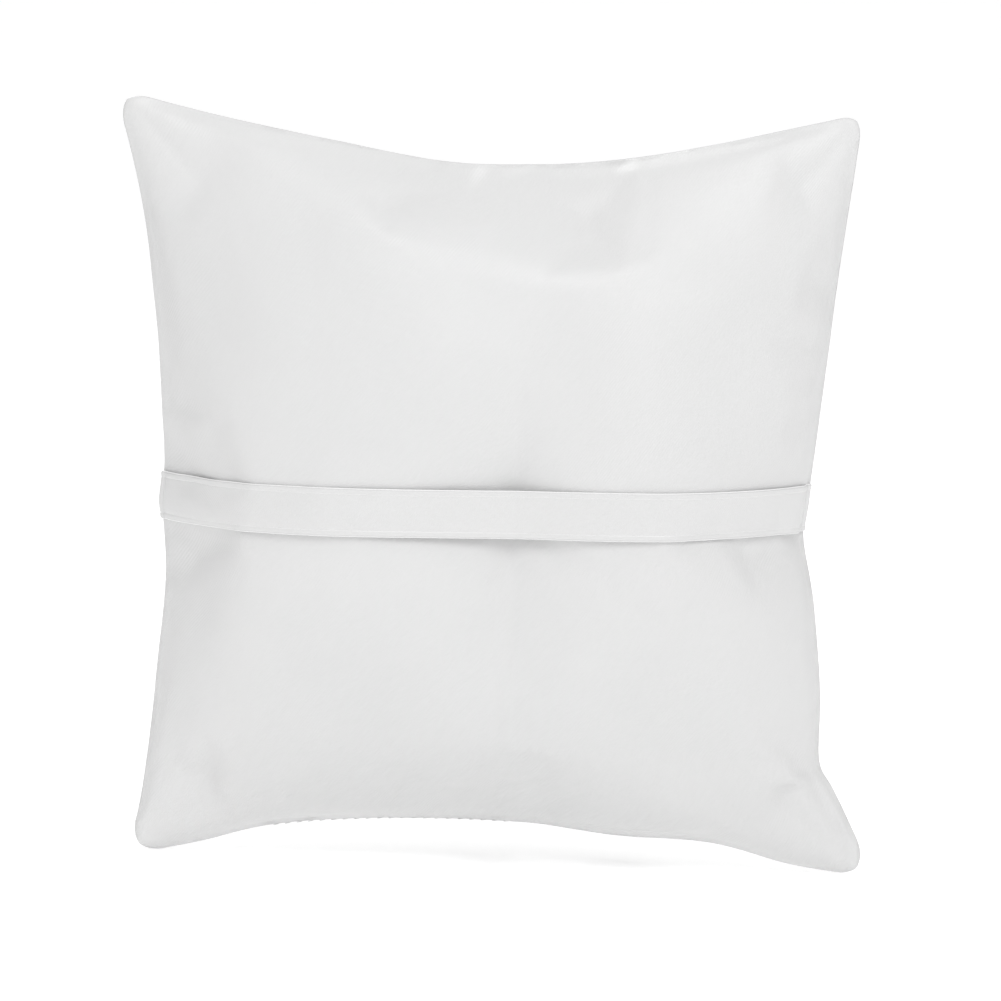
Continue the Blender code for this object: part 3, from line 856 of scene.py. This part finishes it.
def body_place(nodes, links, scale, turn=(0, 0, 0)):
    """Places in the piece itself."""
    source = nodes.new("ShaderNodeTexCoord")
    return scaled(nodes, links, source.outputs["Object"], scale, turn)


def woven_bands(nodes, links, place, distortion):
    """Parallel bands, as of threads side by side."""
    bands = nodes.new("ShaderNodeTexWave")
    bands.inputs["Scale"].default_value = 1.0
    bands.inputs["Distortion"].default_value = distortion
    bands.inputs["Detail"].default_value = 1.0
    bands.inputs["Detail Scale"].default_value = 0.3
    links.new(place, bands.inputs["Vector"])
    return bands.outputs["Fac"]


def cloud(nodes, links, place, detail=2.0):
    """A soft uneven pattern."""
    noise = nodes.new("ShaderNodeTexNoise")
    noise.inputs["Scale"].default_value = 1.0
    noise.inputs["Detail"].default_value = detail
    links.new(place, noise.inputs["Vector"])
    return noise.outputs["Fac"]


def raise_by(nodes, links, height, distance, strength, under=None):
    """Raise the surface by a pattern, over the relief that is already under it."""
    relief = nodes.new("ShaderNodeBump")
    relief.inputs["Distance"].default_value = distance
    relief.inputs["Strength"].default_value = strength
    links.new(height, relief.inputs["Height"])
    if under is not None:
        links.new(under, relief.inputs["Normal"])
    return relief.outputs["Normal"]


def tint(nodes, links, pattern, low, high, socket):
    """Let a socket vary between two colours by a pattern."""
    mix = nodes.new("ShaderNodeValToRGB")
    mix.color_ramp.elements[0].position = 0.3
    mix.color_ramp.elements[1].position = 0.7
    mix.color_ramp.elements[0].color = (*low, 1)
    mix.color_ramp.elements[1].color = (*high, 1)
    links.new(pattern, mix.inputs["Fac"])
    links.new(mix.outputs["Color"], socket)


SATIN_WHITE = 0.653


def plain_satin(name, fineness, roughness):
    """White satin of one tone: a fine slanted weave over softly uneven cloth."""
    slant, unevenness_turn = 0.66, 0.4
    finish, nodes, links, shader = new_finish(name, SATIN_WHITE, roughness)
    weave = woven_bands(nodes, links, cloth_place(nodes, links, (fineness,) * 3, slant), 1.5)
    slub = cloud(nodes, links, cloth_place(nodes, links, (220, 1800, 220)), 1.0)
    swell = cloud(nodes, links, cloth_place(nodes, links, (95, 75, 95), unevenness_turn))
    normal = raise_by(nodes, links, swell, 0.45 * MM, 0.35)
    normal = raise_by(nodes, links, slub, 0.03 * MM, 0.35, normal)
    normal = raise_by(nodes, links, weave, 0.05 * MM, 0.6, normal)
    links.new(normal, shader.inputs["Normal"])
    tint(nodes, links, slub, grey(roughness * 0.92), grey(roughness * 1.08), shader.inputs["Roughness"])
    return finish, nodes, links, shader


def cover_satin():
    """The satin of the cover, its tone a little uneven."""
    finish, nodes, links, shader = plain_satin("white satin", 440, 0.42)
    broad = cloud(nodes, links, cloth_place(nodes, links, (28, 24, 28)))
    darker, brighter = grey(SATIN_WHITE * 0.985), grey(SATIN_WHITE * 1.01)
    tint(nodes, links, broad, darker, brighter, shader.inputs["Base Color"])
    return finish


def ribbon_satin():
    """The satin of strap and bow: a painted highlight along a line inside each edge, and painted shade on a
    duller rim.
    """
    finish, nodes, links, shader = plain_satin("satin ribbon", 572, 0.34)
    source = nodes.new("ShaderNodeAttribute")
    source.attribute_name = "cut"
    parts = nodes.new("ShaderNodeSeparateXYZ")
    from_middle = nodes.new("ShaderNodeMath")
    from_middle.operation = "ABSOLUTE"
    share = nodes.new("ShaderNodeMath")
    share.operation = "MULTIPLY"
    share.inputs[1].default_value = 1 / STRAP_HALF
    ramp = nodes.new("ShaderNodeValToRGB")
    # Painted light in the base colour: the brighter band inside each edge is a painted highlight of the
    # folded hem, and the darker rim is painted shade that dulls the lit edge
    plain, painted_highlight, rim = SATIN_WHITE, SATIN_WHITE * 1.07, SATIN_WHITE * 0.86
    stops = [
        (0.0, plain), (0.755, plain), (0.775, painted_highlight), (0.80, painted_highlight), (0.815, plain),
        (0.95, plain), (0.975, rim),
    ]
    for i, (place, tone) in enumerate(stops):
        element = ramp.color_ramp.elements[0] if i == 0 else ramp.color_ramp.elements.new(place)
        element.position = place
        element.color = (*grey(tone), 1)
    links.new(source.outputs["Vector"], parts.inputs["Vector"])
    links.new(parts.outputs["Y"], from_middle.inputs[0])
    links.new(from_middle.outputs[0], share.inputs[0])
    links.new(share.outputs[0], ramp.inputs["Fac"])
    links.new(ramp.outputs["Color"], shader.inputs["Base Color"])
    return finish


def thread_finish():
    """Twisted white thread."""
    finish, nodes, links, shader = new_finish("white thread", 0.8, 0.5)
    place = body_place(nodes, links, (900, 900, 900), (0.5, 0.6, 0.7))
    twist = woven_bands(nodes, links, place, 1.0)
    links.new(raise_by(nodes, links, twist, 0.04 * MM, 0.4), shader.inputs["Normal"])
    tint(nodes, links, twist, (0.80, 0.80, 0.79), (0.90, 0.90, 0.89), shader.inputs["Base Color"])
    return finish


def fibre_finish():
    """Tangled white fibre."""
    finish, nodes, links, shader = new_finish("polyester fibre", 0.82, 0.9)
    tangle = cloud(nodes, links, body_place(nodes, links, (260, 700, 420)), 6.0)
    links.new(raise_by(nodes, links, tangle, 0.8 * MM, 0.8), shader.inputs["Normal"])
    tint(nodes, links, tangle, grey(0.70), grey(0.86), shader.inputs["Base Color"])
    return finish


def dress(piece, finish):
    """Give the piece its finish."""
    piece.data.materials.clear()
    piece.data.materials.append(finish)


# ---------------------------------------------------------------- room

def make_floor():
    """A pale floor, lit a little from within so that it fades into the room."""
    deselect()
    bpy.ops.mesh.primitive_plane_add(size=60)
    floor = bpy.context.object
    floor.name = "floor"
    finish, nodes, links, shader = new_finish("pale floor", 0.95, 0.9)
    shader.inputs["Emission Color"].default_value = (1, 1, 1, 1)
    shader.inputs["Emission Strength"].default_value = 0.21
    floor.data.materials.append(finish)


def make_camera():
    """Look at the back of the pillow from a little above, with a long lens."""
    lens, sensor, view_width = 250, 36, 260 * MM
    elevation, roll = math.radians(6), math.radians(2.1)
    data = bpy.data.cameras.new("camera")
    data.lens, data.sensor_width = lens, sensor
    camera = bpy.data.objects.new("camera", data)
    bpy.context.scene.collection.objects.link(camera)
    middle = Vector((2.1 * MM, SEAM_Y, 94.9 * MM))
    back = Vector((0, -math.cos(elevation), math.sin(elevation)))
    turn = (-back).to_track_quat("-Z", "Y").to_matrix().to_4x4() @ Matrix.Rotation(roll, 4, "Z")
    camera.matrix_world = Matrix.Translation(middle + back * view_width * lens / sensor) @ turn
    bpy.context.scene.camera = camera


def add_light(name, place, aim, size, watts):
    """A soft rectangular lamp."""
    data = bpy.data.lights.new(name, "AREA")
    data.shape, data.size, data.size_y, data.energy = "RECTANGLE", size[0], size[1], watts
    light = bpy.data.objects.new(name, data)
    bpy.context.scene.collection.objects.link(light)
    light.location = place
    light.rotation_euler = (Vector(aim) - Vector(place)).to_track_quat("-Z", "Y").to_euler()


def maths(nodes, operation, value=None):
    """A node that works with numbers, the second of which may be set here."""
    node = nodes.new("ShaderNodeMath")
    node.operation = operation
    if value is not None:
        node.inputs[1].default_value = value
    return node


def make_world():
    """A white room, brighter above and darker to both sides."""
    world = bpy.data.worlds.new("studio")
    bpy.context.scene.world = world
    world.use_nodes = True
    nodes, links = world.node_tree.nodes, world.node_tree.links
    background = nodes["Background"]
    background.inputs["Color"].default_value = (1, 1, 1, 1)
    direction = nodes.new("ShaderNodeTexCoord").outputs["Generated"]
    tilt = nodes.new("ShaderNodeVectorMath")
    tilt.operation = "DOT_PRODUCT"
    tilt.inputs[1].default_value = (0.04, -0.04, 0.50)
    parts = nodes.new("ShaderNodeSeparateXYZ")
    sideways = maths(nodes, "MULTIPLY")
    darker = maths(nodes, "MULTIPLY_ADD", -0.28)
    level = maths(nodes, "ADD", 0.58)
    links.new(direction, tilt.inputs[0])
    links.new(direction, parts.inputs["Vector"])
    links.new(parts.outputs["X"], sideways.inputs[0])
    links.new(parts.outputs["X"], sideways.inputs[1])
    links.new(sideways.outputs[0], darker.inputs[0])
    links.new(tilt.outputs["Value"], darker.inputs[2])
    links.new(darker.outputs[0], level.inputs[0])
    links.new(level.outputs[0], background.inputs["Strength"])


def make_light():
    """The room's own light, one lamp on the strap's side and a weaker one on the bow's side."""
    make_world()
    middle, size = (0, 0, 0.1), (0.6, 0.7)
    add_light("key", (0.26, -1.20, 1.25), middle, size, 9.0)
    add_light("fill", (-0.6, 1.15, 1.2), middle, size, 6.0)
    bpy.context.scene.view_settings.view_transform = "Standard"


# ---------------------------------------------------------------- the pillow

make_camera()
make_light()
make_floor()

cover = make_cover()
skin = surface_finder(cover)
ribbon = ribbon_satin()
dress(cover, cover_satin())
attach(cover, "pillow")
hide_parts("back_panel", "front_panel")

filling = make_filling()
dress(filling, fibre_finish())
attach(filling, "pillow")
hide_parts("fibre_filling")

# The strap in two halves, each from its seam to the middle
line = strap_line(skin)
SEWN = 6 * MM               # the part at each end that stays with the pillow
left_bend = (line[:, 0].min() + SEWN, strap_box[0].x)
right_bend = (line[:, 0].max() - SEWN, strap_box[1].x)
for left_half, name, nodes, (start_x, end_x) in (
    (True, "strap_left", ("strap_end_left", "hand_strap"), left_bend),
    (False, "strap_right", ("strap_end_right",), right_bend),
):
    strap, length = make_strap(name, line, left_half, skin)
    dress(strap, ribbon)
    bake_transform(strap)
    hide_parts(*nodes)

for side, name, node in (
    (LEFTWARD, "bow_loop_ribbon_left", "bow_loop_left"),
    (RIGHTWARD, "bow_loop_ribbon_right", "bow_loop_right"),
):
    loop, length = make_loop(name, side, skin)
    dress(loop, ribbon)
    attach(loop, "pillow")
    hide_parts(node)

for side, name, node, body in (
    (LEFTWARD, "bow_tail_ribbon_left", "bow_tail_left", "left_tail"),
    (RIGHTWARD, "bow_tail_ribbon_right", "bow_tail_right", "right_tail"),
):
    tail = make_tail(name, side, skin)
    dress(tail, ribbon)
    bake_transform(tail)
    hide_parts(node)

knot = make_knot()
dress(knot, ribbon)
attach(knot, "pillow")
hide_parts("bow_knot")

thread = thread_finish()
for stitches, node in ((closing_stitches(), "closing_thread"), (tack_stitches(skin), "centre_tack")):
    dress(stitches, thread)
    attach(stitches, "pillow")
    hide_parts(node)
dress(bpy.data.objects["seam_thread"], thread)
